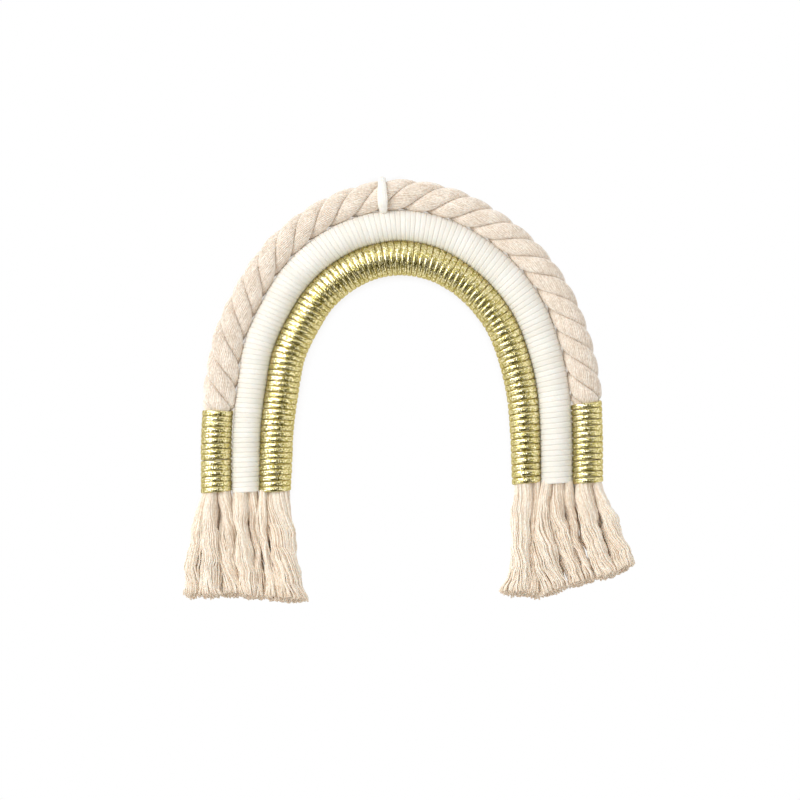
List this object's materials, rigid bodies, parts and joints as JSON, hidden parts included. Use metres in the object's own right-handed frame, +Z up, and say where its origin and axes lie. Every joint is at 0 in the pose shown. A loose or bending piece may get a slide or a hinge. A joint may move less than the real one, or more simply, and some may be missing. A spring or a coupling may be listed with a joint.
{
  "type": "macrame wall hanging",
  "caption": "Rainbow-shaped rope wall hanging: nested arches of twisted blush rope, white yarn winding and gold winding, with unravelled fringes and a small hanging loop.",
  "frame": {"origin": "underside of the hanging loop's crown, where a nail or hook would carry it", "axes": "+X to the viewer's right, +Y towards the wall, +Z up; the front faces -Y"},
  "size_m": [0.2804, 0.0306, 0.2653],
  "materials": {
    "blush_cotton": "soft matt combed cotton, undyed blush",
    "white_yarn": "matt white cotton yarn",
    "gold_thread": "metallic gold thread, bright and sparkling"
  },
  "bodies": {
    "root": {"outer_rope": "blush_cotton", "white_wrap": "white_yarn", "gold_wrap": "gold_thread", "left_end_wrap": "gold_thread", "right_end_wrap": "gold_thread", "hanging_loop": "white_yarn", "fringe_left_outer": "blush_cotton", "fringe_left_middle": "blush_cotton", "fringe_left_inner": "blush_cotton", "fringe_right_inner": "blush_cotton", "fringe_right_middle": "blush_cotton", "fringe_right_outer": "blush_cotton"}
  },
  "joints": []
}
